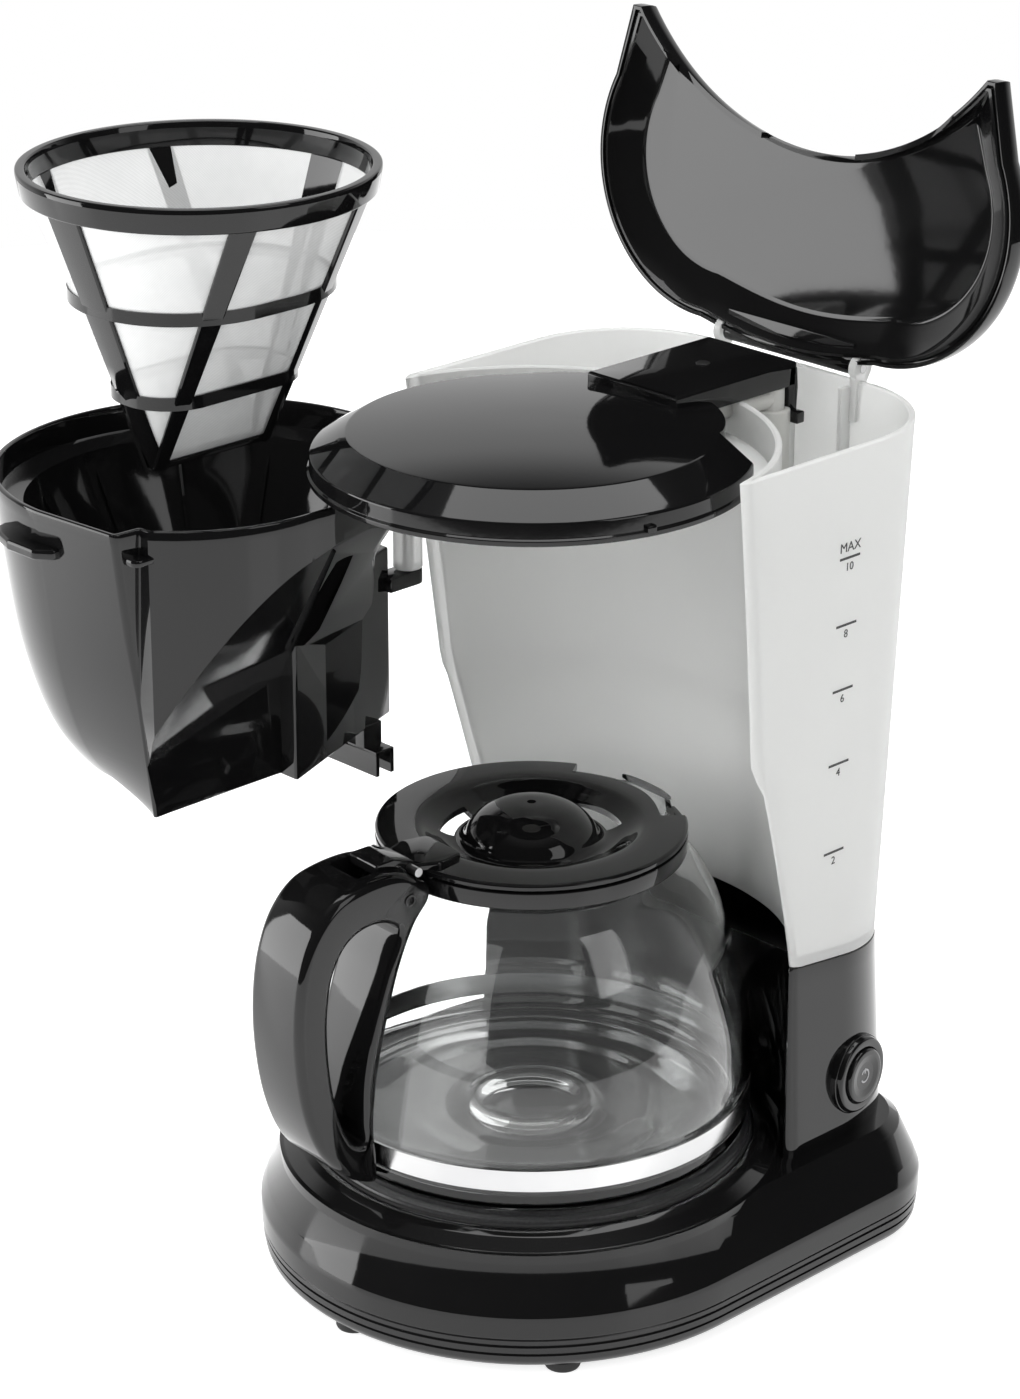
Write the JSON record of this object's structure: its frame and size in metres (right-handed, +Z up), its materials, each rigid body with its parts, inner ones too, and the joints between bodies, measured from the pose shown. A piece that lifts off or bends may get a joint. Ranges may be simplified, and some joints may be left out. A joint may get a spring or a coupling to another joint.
{
  "type": "drip coffee maker",
  "caption": "Drip coffee maker: translucent tank over a heated base, glass carafe, swing-out filter basket, reusable filter and hinged crescent tank lid.",
  "frame": {"origin": "the point of the table under the centre of the hot plate", "axes": "+Z up, -Y to the front where the carafe's handle points, +X to the side that carries the switch"},
  "size_m": [0.249, 0.2688, 0.395],
  "materials": {
    "gloss_black": "deep gloss black moulding",
    "matte_black": "fine matt black moulding",
    "milky_tank": "milky translucent plastic",
    "white_plastic": "natural white plastic",
    "clear_glass": "clear blown glass",
    "filter_gauze": "fine woven nylon gauze",
    "soft_rubber": "soft black rubber",
    "silicone": "translucent silicone",
    "red_silicone": "red silicone seal",
    "plate_coat": "dark non-stick coat on the hot plate",
    "bright_steel": "polished stainless steel",
    "plain_steel": "plain steel",
    "cast_metal": "drawn aluminium",
    "brass_metal": "brass",
    "mark_ink": "printed grey-black ink"
  },
  "bodies": {
    "root": {"housing": "gloss_black", "base_plate": "matte_black", "feet": "soft_rubber", "base_screws": "plain_steel", "hot_plate": "plate_coat", "plate_seal": "soft_rubber", "heating_element": "cast_metal", "thermostat": "plain_steel", "thermostat_strap": "plain_steel", "strap_screws": "brass_metal", "thermal_fuse": "white_plastic", "inlet_hose": "silicone", "outlet_hose": "silicone", "hose_clips": "plain_steel", "check_valve": "white_plastic", "terminal_block": "white_plastic", "terminal_screws": "brass_metal", "cord_gland": "soft_rubber", "water_tank": "milky_tank", "riser_tube": "silicone", "level_marks": "mark_ink", "front_cover": "gloss_black", "spray_arm": "gloss_black", "arm_screw": "plain_steel", "spray_duct": "silicone", "spray_head": "white_plastic", "cover_screws": "plain_steel", "switch_bezel": "gloss_black", "switch_body": "matte_black"},
    "lid": {"tank_lid": "gloss_black", "lid_pins": "plain_steel"},
    "basket": {"filter_basket": "gloss_black", "basket_pin": "plain_steel"},
    "valve": {"valve_plunger": "white_plastic", "valve_seal": "red_silicone", "valve_spring": "plain_steel"},
    "filter": {"filter_frame": "gloss_black", "filter_mesh": "filter_gauze"},
    "carafe": {"carafe_glass": "clear_glass", "carafe_collar": "gloss_black", "carafe_band": "bright_steel", "carafe_handle": "gloss_black", "handle_screw": "bright_steel", "carafe_lid_pin": "plain_steel"},
    "carafe_cover": {"carafe_lid": "gloss_black"},
    "button": {"switch_button": "gloss_black"}
  },
  "joints": [
    {"name": "tank_lid_hinge", "type": "hinge", "parent": "root", "child": "lid", "pos_m": [0, 0.121, 0.292], "axis": [1, 0, 0], "range_deg": [0, 94]},
    {"name": "basket_swing", "type": "hinge", "parent": "root", "child": "basket", "pos_m": [-0.074, 0.014, 0.24], "axis": [0, 0, 1], "range_deg": [0, 90]},
    {"name": "drip_valve_lift", "type": "slide", "parent": "basket", "child": "valve", "axis": [0, 0, 1], "range_m": [0, 0.004], "stiffness_N_per_m": 150, "springref_m": -0.004, "deforming": ["valve_spring"]},
    {"name": "filter_lift", "type": "slide", "parent": "root", "child": "filter", "axis": [0, 0, 1], "range_m": [0, 0.08]},
    {"name": "carafe_slide", "type": "slide", "parent": "root", "child": "carafe", "axis": [0, -1, 0], "range_m": [0, 0.16]},
    {"name": "carafe_lid_hinge", "type": "hinge", "parent": "carafe", "child": "carafe_cover", "pos_m": [-0.00488, -0.05579, 0.1579], "axis": [0.9962, -0.0872, 0], "range_deg": [0, 35]},
    {"name": "switch_press", "type": "slide", "parent": "root", "child": "button", "axis": [-0.9903, -0.1392, 0], "range_m": [0, 0.0025], "stiffness_N_per_m": 400, "springref_m": -0.002}
  ]
}
